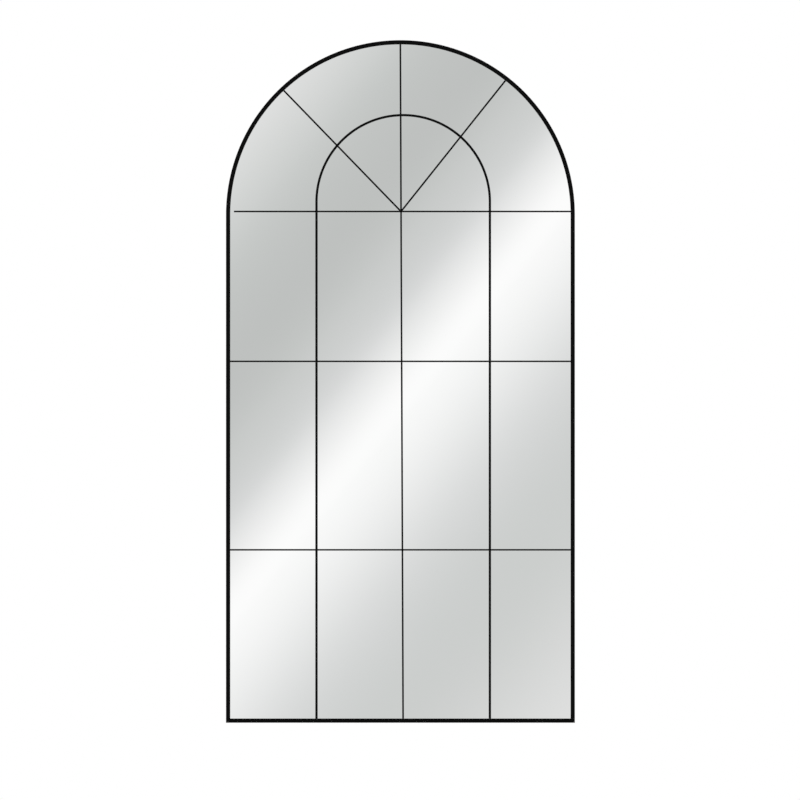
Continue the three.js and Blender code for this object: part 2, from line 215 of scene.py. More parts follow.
def blank(points, front, back):
    """A block with the given outline (x, z), from one depth to another."""
    mesh = bmesh.new()
    rings = [[mesh.verts.new((x, y, z)) for x, z in points] for y in (front, back)]
    joined_rings(mesh, rings)
    return finished("blank", mesh)


def applied(piece):
    """Makes what the modifiers give into the mesh itself."""
    graph = bpy.context.evaluated_depsgraph_get()
    made = bpy.data.meshes.new_from_object(piece.evaluated_get(graph))
    piece.modifiers.clear()
    old = piece.data
    piece.data = made
    made.name = piece.name
    bpy.data.meshes.remove(old)
    return piece


def carved(piece, tools, operation="DIFFERENCE"):
    """Cuts the tools out of a piece, or keeps what they share, and removes the tools."""
    for tool in tools:
        cut = piece.modifiers.new("cut", "BOOLEAN")
        cut.operation = operation
        cut.solver = "EXACT"
        cut.object = tool
    bpy.context.view_layer.update()
    applied(piece)
    for tool in tools:
        bpy.data.objects.remove(tool)
    piece.data.set_sharp_from_angle(angle=math.radians(SMOOTH_ANGLE))
    return piece


def moved(piece, matrix):
    """Moves a piece's mesh, and leaves its origin where it is."""
    piece.data.transform(matrix)
    return piece


def copied(piece, name, matrix):
    """A copy of a piece, placed by a matrix in its mesh."""
    twin = bpy.data.objects.new(name, piece.data.copy())
    bpy.context.scene.collection.objects.link(twin)
    return moved(twin, matrix)


def settled(piece, material, slot, *nodes, body="mirror"):
    """Gives a piece its finish and its body, and has it stand for its solids."""
    if not piece.data.materials:
        piece.data.materials.append(material)
    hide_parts(*nodes)
    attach(piece, body)
    return piece


# ---------- materials ----------


def linear(hex_colour):
    """An sRGB hex colour as linear RGBA."""
    channels = [int(hex_colour[i : i + 2], 16) / 255 for i in (1, 3, 5)]
    curve = [c / 12.92 if c <= 0.04045 else ((c + 0.055) / 1.055) ** 2.4 for c in channels]
    return (*curve, 1.0)


def add(tree, kind, inputs=None, **settings):
    """Adds a node: settings are its properties, inputs the values or the sockets that feed it."""
    node = tree.nodes.new(kind)
    for name, value in settings.items():
        setattr(node, name, value)
    for name, value in (inputs or {}).items():
        if isinstance(value, bpy.types.NodeSocket):
            tree.links.new(value, node.inputs[name])
        else:
            node.inputs[name].default_value = value
    return node


def new_material(name):
    """An empty material, its node tree and the object's own coordinates."""
    material = bpy.data.materials.new(name)
    material.use_nodes = True
    tree = material.node_tree
    tree.nodes.clear()
    place = add(tree, "ShaderNodeTexCoord").outputs["Object"]
    return material, tree, place


def surfaced(tree, inputs):
    """Ends a material in one principled surface."""
    surface = add(tree, "ShaderNodeBsdfPrincipled", inputs)
    add(tree, "ShaderNodeOutputMaterial", {"Surface": surface.outputs["BSDF"]})


def per_metre(size_mm):
    """A texture's scale from the size of one of its features."""
    return 1 / (size_mm * MM)


def blend(tree, share, first, second):
    """Goes over from one colour to another, and gives the socket with the result."""
    mix = add(
        tree, "ShaderNodeMix", {"Factor": share, "A": first, "B": second}, data_type="RGBA"
    )
    return mix.outputs["Result"]


def powder_coated_steel():
    """Polyester powder baked on steel: dense matt black, with melted powder's faint orange peel."""
    material, tree, place = new_material("black_powder_coated_steel")
    peel = add(
        tree,
        "ShaderNodeTexNoise",
        {"Vector": place, "Scale": per_metre(0.9), "Detail": 3.0, "Roughness": 0.55},
    )
    drift = add(
        tree,
        "ShaderNodeTexNoise",
        {"Vector": place, "Scale": per_metre(45), "Detail": 2.0},
    )
    shade = blend(tree, drift.outputs["Fac"], linear("#060606"), linear("#0A0A0A"))
    roughness = add(
        tree,
        "ShaderNodeMapRange",
        {"Value": drift.outputs["Fac"], "To Min": 0.46, "To Max": 0.6},
    )
    bump = add(
        tree,
        "ShaderNodeBump",
        {"Height": peel.outputs["Fac"], "Strength": 0.35, "Distance": 0.05 * MM},
    )
    surfaced(
        tree,
        {
            "Base Color": shade,
            "Roughness": roughness.outputs["Result"],
            "Normal": bump.outputs["Normal"],
            "Specular IOR Level": 0.04,
        },
    )
    return material


def silvered_glass():
    """Float glass silvered on its back: a clean reflection, a touch green, with a very slow wave."""
    material, tree, place = new_material("silvered_float_glass")
    wave = add(
        tree,
        "ShaderNodeTexNoise",
        {"Vector": place, "Scale": per_metre(260), "Detail": 1.0},
    )
    tint = blend(tree, wave.outputs["Fac"], linear("#FBFCFB"), linear("#FDFDFD"))
    bump = add(
        tree,
        "ShaderNodeBump",
        {"Height": wave.outputs["Fac"], "Strength": 0.05, "Distance": 0.05 * MM},
    )
    surfaced(
        tree,
        {
            "Base Color": tint,
            "Metallic": 1.0,
            "Roughness": 0.015,
            "Normal": bump.outputs["Normal"],
        },
    )
    return material


def ground_glass_edge():
    """The pane's seamed edge: sea green, and frosted all over by the grinding belt."""
    material, tree, place = new_material("ground_glass_edge")
    # Belt grit marks are finer than this. They are drawn coarser so that they show.
    grind = add(
        tree,
        "ShaderNodeTexNoise",
        {"Vector": place, "Scale": per_metre(0.5), "Detail": 4.0},
    )
    shade = blend(tree, grind.outputs["Fac"], linear("#5E8F80"), linear("#8FB8AB"))
    surfaced(tree, {"Base Color": shade, "Roughness": 0.45})
    return material


def mirror_back_paint():
    """Grey paint curtain-coated over a mirror's silver: flat, with faint streaks along the sheet."""
    material, tree, place = new_material("mirror_back_paint")
    stretched = add(tree, "ShaderNodeMapping", {"Vector": place, "Scale": (1.0, 1.0, 0.04)})
    streak = add(
        tree,
        "ShaderNodeTexNoise",
        {"Vector": stretched.outputs["Vector"], "Scale": per_metre(6), "Detail": 3.0},
    )
    shade = blend(tree, streak.outputs["Fac"], linear("#6F7776"), linear("#7F8786"))
    surfaced(tree, {"Base Color": shade, "Roughness": 0.6})
    return material


def zinc_plated_steel():
    """Steel barrel-plated in bright zinc: a faintly blue silver with fine tumbling marks."""
    material, tree, place = new_material("zinc_plated_steel")
    cloud = add(
        tree,
        "ShaderNodeTexNoise",
        {"Vector": place, "Scale": per_metre(5), "Detail": 3.0},
    )
    nicks = add(
        tree,
        "ShaderNodeTexNoise",
        {"Vector": place, "Scale": per_metre(0.6), "Detail": 5.0, "Roughness": 0.7},
    )
    shade = blend(tree, cloud.outputs["Fac"], linear("#B4BAC0"), linear("#D3D6D8"))
    roughness = add(
        tree,
        "ShaderNodeMapRange",
        {"Value": nicks.outputs["Fac"], "To Min": 0.22, "To Max": 0.42},
    )
    bump = add(
        tree,
        "ShaderNodeBump",
        {"Height": nicks.outputs["Fac"], "Strength": 0.25, "Distance": 0.03 * MM},
    )
    surfaced(
        tree,
        {
            "Base Color": shade,
            "Metallic": 1.0,
            "Roughness": roughness.outputs["Result"],
            "Normal": bump.outputs["Normal"],
        },
    )
    return material


def moulded_rubber():
    """Black EPDM from a mould: dull, slightly brown, with a fine grain and a dusty bloom."""
    material, tree, place = new_material("black_moulded_rubber")
    grain = add(
        tree,
        "ShaderNodeTexNoise",
        {"Vector": place, "Scale": per_metre(0.7), "Detail": 4.0, "Roughness": 0.6},
    )
    bloom = add(
        tree,
        "ShaderNodeTexNoise",
        {"Vector": place, "Scale": per_metre(9), "Detail": 2.0},
    )
    shade = blend(tree, bloom.outputs["Fac"], linear("#1B1A19"), linear("#2A2927"))
    bump = add(
        tree,
        "ShaderNodeBump",
        {"Height": grain.outputs["Fac"], "Strength": 0.4, "Distance": 0.05 * MM},
    )
    surfaced(
        tree,
        {
            "Base Color": shade,
            "Roughness": 0.82,
            "Normal": bump.outputs["Normal"],
        },
    )
    return material


def foam_sheet():
    """Closed-cell polyethylene foam: soft white, its skin marked by cells of about a millimetre."""
    material, tree, place = new_material("white_foam_sheet")
    cells = add(tree, "ShaderNodeTexVoronoi", {"Vector": place, "Scale": per_metre(1.2)})
    shade = blend(tree, cells.outputs["Distance"], linear("#EDEDE8"), linear("#D9D9D2"))
    bump = add(
        tree,
        "ShaderNodeBump",
        {"Height": cells.outputs["Distance"], "Strength": 0.5, "Distance": 0.15 * MM},
    )
    surfaced(
        tree,
        {
            "Base Color": shade,
            "Roughness": 0.85,
            "Normal": bump.outputs["Normal"],
        },
    )
    return material


def pressed_fibreboard():
    """Medium-density fibreboard, sanded smooth: warm tan, with sparse darker fibres every way."""
    material, tree, place = new_material("pressed_fibreboard")
    fibre_width = 0.9  # really about 0.3 mm, drawn coarser so that it shows
    fibre_stretch = 0.16
    fibre_turns = (12, 58, 101, 149)  # degrees that the fibres lie at, in one layer each
    fibres = None
    for turn in fibre_turns:
        laid = add(
            tree,
            "ShaderNodeMapping",
            {"Vector": place, "Rotation": (0, math.radians(turn), 0)},
        )
        drawn_out = add(
            tree,
            "ShaderNodeMapping",
            {"Vector": laid.outputs["Vector"], "Scale": (fibre_stretch, 1.0, 1.0)},
        )
        layer = add(
            tree,
            "ShaderNodeTexNoise",
            {
                "Vector": drawn_out.outputs["Vector"],
                "Scale": per_metre(fibre_width),
                "Detail": 1.0,
                "Distortion": 0.6,
            },
        )
        sparse = add(
            tree,
            "ShaderNodeMapRange",
            {"Value": layer.outputs["Fac"], "From Min": 0.58, "From Max": 0.8},
        )
        if fibres is None:
            fibres = sparse.outputs["Result"]
            continue
        both = add(
            tree,
            "ShaderNodeMath",
            {0: fibres, 1: sparse.outputs["Result"]},
            operation="MAXIMUM",
        )
        fibres = both.outputs["Value"]
    dust = add(
        tree,
        "ShaderNodeTexNoise",
        {"Vector": place, "Scale": per_metre(0.8), "Detail": 4.0, "Roughness": 0.7},
    )
    cloud = add(
        tree,
        "ShaderNodeTexNoise",
        {"Vector": place, "Scale": per_metre(140), "Detail": 3.0},
    )
    ground = blend(tree, dust.outputs["Fac"], linear("#A9825A"), linear("#BC9870"))
    clouded = blend(tree, cloud.outputs["Fac"], ground, linear("#A67F56"))
    shade = blend(tree, fibres, clouded, linear("#8A6743"))
    bump = add(
        tree,
        "ShaderNodeBump",
        {"Height": dust.outputs["Fac"], "Strength": 0.25, "Distance": 0.05 * MM},
    )
    surfaced(
        tree,
        {
            "Base Color": shade,
            "Roughness": 0.78,
            "Normal": bump.outputs["Normal"],
        },
    )
    return material


BLACK_STEEL = powder_coated_steel()
SILVER = silvered_glass()
GLASS_EDGE = ground_glass_edge()
BACK_PAINT = mirror_back_paint()
ZINC = zinc_plated_steel()
RUBBER = moulded_rubber()
FOAM = foam_sheet()
BOARD = pressed_fibreboard()


# ---------- camera, light and stage ----------

PIXEL = 2.637 * MM  # of the object, in a picture 800 pixels wide
PICTURE_SIDE = 800
VIEW_MIDDLE = Vector((-1.1 * MM, 0, FOOT + 851.1 * MM))
CAMERA_DISTANCE = 6.0

FLOOR_REACH = 12
FLOOR_FADE_START = 0.9  # metres from the mirror's foot where the floor begins to go over into white
FLOOR_FADE_END = 4.0
SOFT_LIGHT = 0.75  # the world's strength as a light, where 1 is the white that is seen

MIDDLE = (LOW + HIGH) / 2
# Name, place, side in metres, watts, and whether a reflection shows the lamp.
LAMPS = [
    ("left_softbox", (-2.6, -2.6, HIGH.z + 0.9), 2.2, 42, False),
    ("right_softbox", (2.8, -2.2, HIGH.z + 0.4), 2.4, 24, False),
    ("back_softbox", (1.2, 3.4, HIGH.z + 1.0), 2.4, 42, True),
]


def make_camera():
    """Straight on and without perspective, as the picture is drawn."""
    data = bpy.data.cameras.new("camera")
    data.type = "ORTHO"
    data.ortho_scale = PICTURE_SIDE * PIXEL
    data.clip_end = 4 * CAMERA_DISTANCE
    camera = bpy.data.objects.new("camera", data)
    camera.location = VIEW_MIDDLE - Vector((0, CAMERA_DISTANCE, 0))
    camera.rotation_euler = (math.radians(90), 0, 0)
    bpy.context.scene.collection.objects.link(camera)
    bpy.context.scene.camera = camera


def stage_sheet(name, reach, profile):
    """A sheet of the studio: a line of points (y, z) carried across from one side to the other."""
    mesh = bmesh.new()
    rows = [[mesh.verts.new((x, y, z)) for x in (-reach, reach)] for y, z in profile]
    for (a, b), (d, c) in zip(rows, rows[1:]):
        mesh.faces.new((a, b, c, d))
    data = bpy.data.meshes.new(name)
    mesh.to_mesh(data)
    mesh.free()
    sheet = bpy.data.objects.new(name, data)
    bpy.context.scene.collection.objects.link(sheet)
    return sheet


def seen_directly(tree):
    """1 for what the camera, a reflection or glass shows, 0 for the light that falls on things."""
    path = add(tree, "ShaderNodeLightPath")
    outright = add(
        tree,
        "ShaderNodeMath",
        {0: path.outputs["Is Camera Ray"], 1: path.outputs["Is Glossy Ray"]},
        operation="ADD",
    )
    seen = add(
        tree,
        "ShaderNodeMath",
        {0: outright.outputs["Value"], 1: path.outputs["Is Transmission Ray"]},
        operation="ADD",
        use_clamp=True,
    )
    return seen.outputs["Value"]


def make_floor():
    """A pale studio floor that takes the shadow near the mirror and goes over into white beyond."""
    level = FOOT - SEAM
    floor = stage_sheet("floor", FLOOR_REACH, [(-FLOOR_REACH, level), (FLOOR_REACH, level)])
    material, tree, place = new_material("pale_floor")
    cloud = add(tree, "ShaderNodeTexNoise", {"Vector": place, "Scale": per_metre(800)})
    shade = blend(tree, cloud.outputs["Fac"], linear("#F0F0EF"), linear("#F4F4F3"))
    surface = add(tree, "ShaderNodeBsdfPrincipled", {"Base Color": shade, "Roughness": 0.9})
    from_foot = add(
        tree, "ShaderNodeVectorMath", {0: place, 1: (0, 0, FOOT)}, operation="DISTANCE"
    )
    beyond = add(
        tree,
        "ShaderNodeMapRange",
        {
            "Value": from_foot.outputs["Value"],
            "From Min": FLOOR_FADE_START,
            "From Max": FLOOR_FADE_END,
        },
        interpolation_type="SMOOTHSTEP",
    )
    share = add(
        tree,
        "ShaderNodeMath",
        {0: beyond.outputs["Result"], 1: seen_directly(tree)},
        operation="MULTIPLY",
    )
    white = add(tree, "ShaderNodeEmission", {"Color": linear("#FFFFFF"), "Strength": 1.0})
    both = add(
        tree,
        "ShaderNodeMixShader",
        {"Fac": share.outputs["Value"], 1: surface.outputs["BSDF"], 2: white.outputs["Emission"]},
    )
    add(tree, "ShaderNodeOutputMaterial", {"Surface": both.outputs["Shader"]})
    floor.data.materials.append(material)


# Shades across the studio card, from upper left to lower right: metres from the picture's middle.
CARD_BANDS = [
    (-0.85, "#EAEAEA"),
    (-0.62, "#CFD1D0"),
    (-0.43, "#C1C3C2"),
    (-0.28, "#C8CAC9"),
    (-0.15, "#DADBDB"),
    (-0.05, "#F6F6F6"),
    (0.04, "#FCFCFC"),
    (0.28, "#DDDEDE"),
    (0.54, "#CED0CF"),
    (0.88, "#E1E1E1"),
]
CARD_SLOPE = 39  # degrees that the bands' direction dips below level
CARD_DISTANCE = 1.5
CARD_REACH = 3.5
CARD_APRON = 1.0  # what lies on the floor, where the card goes over into the floor's own shade
LIT_FLOOR = "#EAEAE9"  # how the floor looks under the lamps


def make_card():
    """A wide studio card before the mirror, whose slanting band of light the pane reflects."""
    wall = depth(-CARD_DISTANCE)
    apron = wall + CARD_APRON
    card = stage_sheet(
        "studio_card", CARD_REACH, [(wall, FOOT + 2 * CARD_REACH), (wall, FOOT), (apron, FOOT)]
    )
    card.visible_camera = False
    card.visible_diffuse = False
    card.visible_transmission = False
    card.visible_shadow = False

    material, tree, place = new_material("graded_studio_card")
    slope = math.radians(CARD_SLOPE)
    across = (math.cos(slope), 0, -math.sin(slope))
    from_middle = add(
        tree,
        "ShaderNodeVectorMath",
        {0: place, 1: tuple(VIEW_MIDDLE)},
        operation="SUBTRACT",
    )
    along = add(
        tree,
        "ShaderNodeVectorMath",
        {0: from_middle.outputs["Vector"], 1: across},
        operation="DOT_PRODUCT",
    )
    first, last = CARD_BANDS[0][0], CARD_BANDS[-1][0]
    share = add(
        tree,
        "ShaderNodeMapRange",
        {"Value": along.outputs["Value"], "From Min": first, "From Max": last},
    )
    bands = add(tree, "ShaderNodeValToRGB", {"Fac": share.outputs["Result"]})
    bands.color_ramp.interpolation = "CARDINAL"
    stops = bands.color_ramp.elements
    ready = len(stops)  # a new ramp already has its first stops
    for i, (distance, colour) in enumerate(CARD_BANDS):
        position = (distance - first) / (last - first)
        stop = stops[i] if i < ready else stops.new(position)
        stop.position = position
        stop.color = linear(colour)
    parts = add(tree, "ShaderNodeSeparateXYZ", {"Vector": place})
    forward = add(
        tree,
        "ShaderNodeMapRange",
        {"Value": parts.outputs["Y"], "From Min": wall, "From Max": apron},
        interpolation_type="SMOOTHSTEP",
    )
    faded = blend(
        tree, forward.outputs["Result"], bands.outputs["Color"], linear(LIT_FLOOR)
    )
    glow = add(tree, "ShaderNodeEmission", {"Color": faded})
    add(tree, "ShaderNodeOutputMaterial", {"Surface": glow.outputs["Emission"]})
    card.data.materials.append(material)


def make_world():
    """White where the camera or a reflection looks past the object, and a soft light on it."""
    world = bpy.data.worlds.new("studio")
    bpy.context.scene.world = world
    world.use_nodes = True
    tree = world.node_tree
    tree.nodes.clear()
    level = add(
        tree,
        "ShaderNodeMapRange",
        {"Value": seen_directly(tree), "To Min": SOFT_LIGHT, "To Max": 1.0},
    )
    sky = add(
        tree,
        "ShaderNodeBackground",
        {"Color": linear("#FFFFFF"), "Strength": level.outputs["Result"]},
    )
    add(tree, "ShaderNodeOutputWorld", {"Surface": sky.outputs["Background"]})


def make_lamp(name, place, side, power, reflected):
    """A square softbox aimed at the middle of the mirror."""
    data = bpy.data.lights.new(name, "AREA")
    data.shape = "SQUARE"
    data.size = side
    data.energy = power
    lamp = bpy.data.objects.new(name, data)
    lamp.location = place
    lamp.rotation_euler = (MIDDLE - Vector(place)).to_track_quat("-Z", "Y").to_euler()
    lamp.visible_glossy = reflected
    bpy.context.scene.collection.objects.link(lamp)


make_camera()
make_world()
make_floor()
make_card()
for lamp_facts in LAMPS:
    make_lamp(*lamp_facts)


# ---------- frame ----------

BACK = Vector((0, 1, 0))
TO_BACK = Matrix.Rotation(math.radians(90), 4, "Z")  # turns what points along X to the back


def outside(x, z):
    """A place on the plane of the frame's face."""
    return Vector((x, FRONT, z))


def frame_stations(member):
    """Places along the frame's outside, with the inward direction and the direction to the back."""
    left, right = -OUTER_RADIUS, OUTER_RADIUS
    if member == "arch_head":
        turns = [math.pi * i / ARCH_STEPS for i in range(ARCH_STEPS + 1)]
        inwards = [Vector((-math.cos(t), 0, -math.sin(t))) for t in turns]
        return [(outside(0, ARCH_Z) - n * OUTER_RADIUS, n, BACK) for n in inwards]
    from_left, from_right = Vector((1, 0, 1)), Vector((-1, 0, 1))
    return {
        "left_stile": [
            (outside(left, FOOT), from_left, BACK),
            (outside(left, ARCH_Z), Vector((1, 0, 0)), BACK),
        ],
        "right_stile": [
            (outside(right, FOOT), from_right, BACK),
            (outside(right, ARCH_Z), Vector((-1, 0, 0)), BACK),
        ],
        "bottom_rail": [
            (outside(left, FOOT), from_left, BACK),
            (outside(right, FOOT), from_right, BACK),
        ],
    }[member]


ANGLE_SECTION = rounded(
    [
        (0, 0),
        (FACE_WIDTH, 0),
        (FACE_WIDTH, FACE_THICKNESS),
        (SIDE_THICKNESS, FACE_THICKNESS, ROOT_RADIUS),
        (SIDE_THICKNESS, FRAME_DEPTH),
        (0, FRAME_DEPTH),
    ],
    EDGE_RADIUS,
)

# ---------- places of the side screws ----------

CLIPS = sorted(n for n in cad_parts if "_clip_" in n and not n.endswith("_screw"))
BAR_SCREWS = sorted(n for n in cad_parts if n.startswith("hanging_bar_") and "screw" in n)


def station_at(node):
    """A node's place on the frame's outside: X inwards, Y to the back, Z along the frame."""
    low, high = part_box(node)
    centre = (low + high) / 2
    if centre.z > ARCH_Z:
        turn = math.atan2(centre.z - ARCH_Z, centre.x)
        inwards = Vector((-math.cos(turn), 0, -math.sin(turn)))
        place = outside(0, ARCH_Z) - inwards * OUTER_RADIUS
    elif OUTER_RADIUS - abs(centre.x) < centre.z - FOOT:
        inwards = Vector((-math.copysign(1, centre.x), 0, 0))
        place = outside(-inwards.x * OUTER_RADIUS, centre.z)
    else:
        inwards = Vector((0, 0, 1))
        place = outside(centre.x, FOOT)
    along = inwards.cross(BACK)
    matrix = Matrix((inwards, BACK, along)).transposed().to_4x4()
    matrix.translation = place
    return matrix


low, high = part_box(BAR_SCREWS[0])
SCREW_DEPTH = (low.y + high.y) / 2 - FRONT
SCREW_LENGTH = high.x - low.x
SCREW_STATIONS = {f"{name}_screw": station_at(name) for name in CLIPS}
SCREW_STATIONS |= {name: station_at(name) for name in BAR_SCREWS}
AT_SCREW = Matrix.Translation((0, SCREW_DEPTH, 0))


def screw_hole(start=-1 * MM, end=3 * MM):
    """A countersunk cutter along X, a little wider than a side screw."""
    neck = SCREW_SINK + SCREW_HEAD_DEPTH
    room = 0.08 * MM
    profile = [
        (SCREW_HEAD_RADIUS + room, start),
        (SCREW_HEAD_RADIUS + room, SCREW_SINK),
        (SCREW_RADIUS + room, neck),
        (SCREW_RADIUS + room, end),
    ]
    return turned("screw_hole", profile)


def frame_member(member, *nodes):
    """One length of the frame, with countersunk holes for the screws that pass through it."""
    piece = swept(f"welded_{member}", frame_stations(member), ANGLE_SECTION)
    boxes = [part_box(node) for node in nodes]
    slack = 1 * MM
    holes = []
    for matrix in SCREW_STATIONS.values():
        x, _, z = matrix.translation
        if any(
            low.x - slack < x < high.x + slack and low.z - slack < z < high.z + slack
            for low, high in boxes
        ):
            holes.append(moved(screw_hole(), matrix @ AT_SCREW))
    carved(piece, holes)
    return settled(piece, BLACK_STEEL, "black_steel", *nodes)


frame_member("arch_head", "arch_head_left", "arch_head_right")
frame_member("left_stile", "left_stile")
frame_member("right_stile", "right_stile")
frame_member("bottom_rail", "bottom_rail")


# ---------- glazing bars ----------

BAR_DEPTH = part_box("inner_hoop")[1].y - FRONT
RAIL_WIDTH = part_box("middle_rail")[1].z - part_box("middle_rail")[0].z
OPENING = FACE_WIDTH + SEAM


def bar_section(width, front=0.0, back=BAR_DEPTH, radius=EDGE_RADIUS):
    """The section of a flat strip, as (across, back)."""
    half = width / 2
    corners = [(-half, front), (half, front), (half, back), (-half, back)]
    return rounded(corners, radius) if radius else corners


def straight(start, end):
    """Stations of a straight strip between two places (x, z) on the face."""
    a, b = outside(*start), outside(*end)
    across = (b - a).normalized().cross(BACK)
    return [(a, across, BACK), (b, across, BACK)]


def hoop_stations():
    """Up the right leg, round the arch and down the left leg, along the strip's middle."""
    low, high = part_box("inner_hoop")
    x = (low.x + high.x) / 2
    radius = (high.x - low.x - HOOP_WIDTH) / 2
    z = high.z - radius - HOOP_WIDTH / 2
    turns = [math.pi * i / HOOP_STEPS for i in range(HOOP_STEPS + 1)]
    outwards = [Vector((math.cos(t), 0, math.sin(t))) for t in turns]
    arch = [(outside(x, z) + n * radius, n, BACK) for n in outwards]
    right = (outside(x + radius, FOOT), Vector((1, 0, 0)), BACK)
    left = (outside(x - radius, FOOT), Vector((-1, 0, 0)), BACK)
    return [right, *arch, left]


def rail_stations(name):
    """Out through the frame at both ends, unless the solid's left end stops before the frame."""
    low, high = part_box(name)
    z = (low.z + high.z) / 2
    clear_of_frame = FACE_WIDTH * 1.2 - OUTER_RADIUS
    left = low.x if low.x > clear_of_frame else -OUTER_RADIUS
    return straight((left, z), (OUTER_RADIUS, z))


def centre_bar_stations():
    """Along the slightly leaning bar, out through the frame at both ends."""
    low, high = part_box("centre_bar")
    half = THIN_BAR_WIDTH / 2
    top, foot = (low.x + half, high.z), (high.x - half, low.z)
    lean = Vector(top) - Vector(foot)
    lean.normalize()
    beyond = 2 * FACE_WIDTH
    top = Vector(top) + lean * beyond
    foot = Vector(foot) - lean * beyond
    return straight(tuple(foot), tuple(top))


def spoke_stations(name):
    """From the hub out through the frame, along the diagonal of the solid's box."""
    low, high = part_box(name)
    hub_z = (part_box("upper_rail")[0].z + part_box("upper_rail")[1].z) / 2
    leans_left = name.startswith("left")
    far_x = low.x if leans_left else high.x
    foot, top = centre_bar_stations()
    share = (hub_z - foot[0].z) / (top[0].z - foot[0].z)
    hub_x = foot[0].x + share * (top[0].x - foot[0].x)
    angle = math.atan2(high.z - hub_z, abs(far_x - hub_x))
    reach = 2 * OUTER_RADIUS
    side = -1 if leans_left else 1
    end = (hub_x + side * reach * math.cos(angle), hub_z + reach * math.sin(angle))
    return straight((hub_x, hub_z), end)


BARS = {
    "inner_hoop": (hoop_stations(), HOOP_WIDTH),
    "centre_bar": (centre_bar_stations(), THIN_BAR_WIDTH),
    "upper_rail": (rail_stations("upper_rail"), RAIL_WIDTH),
    "middle_rail": (rail_stations("middle_rail"), RAIL_WIDTH),
    "lower_rail": (rail_stations("lower_rail"), RAIL_WIDTH),
    "left_spoke": (spoke_stations("left_spoke"), THIN_BAR_WIDTH),
    "right_spoke": (spoke_stations("right_spoke"), THIN_BAR_WIDTH),
}
BAR_ORDER = list(BARS)
HUB_BARS = ("centre_bar", "upper_rail")


def lap_tools(name):
    """What the other strips take out of this one: its front half, its back half or all of it."""
    beyond = 1 * MM
    middle_depth = BAR_DEPTH / 2
    tools = []
    for other in BAR_ORDER:
        if other == name or (name in HUB_BARS and other.endswith("spoke")):
            continue
        if name.endswith("spoke") and other.endswith("spoke"):
            continue
        stations, width = BARS[other]
        front, back = -beyond, middle_depth + SEAM
        if BAR_ORDER.index(name) < BAR_ORDER.index(other):
            front, back = middle_depth - SEAM, BAR_DEPTH + beyond
        if name.endswith("spoke") and other in HUB_BARS:
            front, back = -beyond, BAR_DEPTH + beyond
        section = bar_section(width + 2 * SEAM, front, back, radius=0)
        tools.append(swept("lap", stations, section))
    return tools


def glazing_bar(name):
    """One strip, trimmed to the frame's opening and halved where it crosses another."""
    stations, width = BARS[name]
    piece = swept(f"{name}_strip", stations, bar_section(width))
    arris = 0.1 * MM
    opening = arch_plate("opening", OPENING, -CUT_MARGIN, BAR_DEPTH + CUT_MARGIN, arris)
    carved(piece, [opening], "INTERSECT")
    carved(piece, lap_tools(name))
    return settled(piece, BLACK_STEEL, "black_steel", name)


for bar_name in BAR_ORDER:
    glazing_bar(bar_name)


# ---------- pane, liner and board ----------


def sheet_of(node, name, arris):
    """A sheet of its solid's size, with its edges broken."""
    low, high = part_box(node)
    inset = OUTER_RADIUS - high.x
    return arch_plate(name, inset, low.y - FRONT, high.y - FRONT, arris)


FLAT_ON = 0.99  # of a face's normal along the depth, where it counts as the pane's front or back
SILVER_SIDE, EDGE_SIDE, PAINT_SIDE = range(3)

pane = sheet_of("mirror_pane", "mirror_glass", PANE_ARRIS)
for finish in (SILVER, GLASS_EDGE, BACK_PAINT):
    pane.data.materials.append(finish)
for face in pane.data.polygons:
    face.material_index = EDGE_SIDE
    if face.normal.y < -FLAT_ON:
        face.material_index = SILVER_SIDE
    elif face.normal.y > FLAT_ON:
        face.material_index = PAINT_SIDE
settled(pane, SILVER, "silvered_glass", "mirror_pane")

liner = sheet_of("foam_liner", "foam_sheet", FOAM_ARRIS)
settled(liner, FOAM, "white_foam", "foam_liner")

back_board = sheet_of("backing_board", "fibreboard_back", BOARD_ARRIS)
settled(back_board, BOARD, "fibreboard", "backing_board")


# ---------- retaining clips and side screws ----------


def cross_recess(width=0.5 * MM, reach=1.3 * MM, drop=1.1 * MM):
    """A cross-shaped cutter that narrows as it goes in, pointing along X from the head's face."""
    mesh = bmesh.new()
    half, end = width / 2, reach
    shape = [
        (half, half), (end, half), (end, -half), (half, -half), (half, -end), (-half, -end),
        (-half, -half), (-end, -half), (-end, half), (-half, half), (-half, end), (half, end),
    ]
    above = -1 * MM
    floor_scale = 0.45
    rings = []
    for x, scale in ((above, 1.0), (0.0, 1.0), (drop, floor_scale)):
        rings.append([mesh.verts.new((x, a * scale, b * scale)) for a, b in shape])
    joined_rings(mesh, rings)
    return finished("recess", mesh)


def threaded(start, end, radius, pitch):
    """Profile points of a thread's crests and roots."""
    points = []
    along = start
    while along + pitch < end:
        points += [(radius, along), (radius - THREAD_DEPTH, along + pitch / 2)]
        along += pitch
    return points


def side_screw():
    """A countersunk screw along X, its head just below the frame's side."""
    neck = SCREW_SINK + SCREW_HEAD_DEPTH
    chamfer = 0.3 * MM
    rim = 0.15 * MM
    thread_start = neck + 0.2 * MM
    pitch = 0.5 * MM
    profile = [
        (TIP_RADIUS, SCREW_SINK),
        (SCREW_HEAD_RADIUS - rim, SCREW_SINK),
        (SCREW_HEAD_RADIUS, SCREW_SINK + rim),
        (SCREW_RADIUS, neck),
        *threaded(thread_start, SCREW_LENGTH - chamfer, SCREW_RADIUS, pitch),
        (SCREW_RADIUS - chamfer, SCREW_LENGTH + SCREW_SINK),
        (TIP_RADIUS, SCREW_LENGTH + SCREW_SINK),
    ]
    screw = turned("side_screw", profile)
    return carved(screw, [moved(cross_recess(), Matrix.Translation((SCREW_SINK, 0, 0)))])


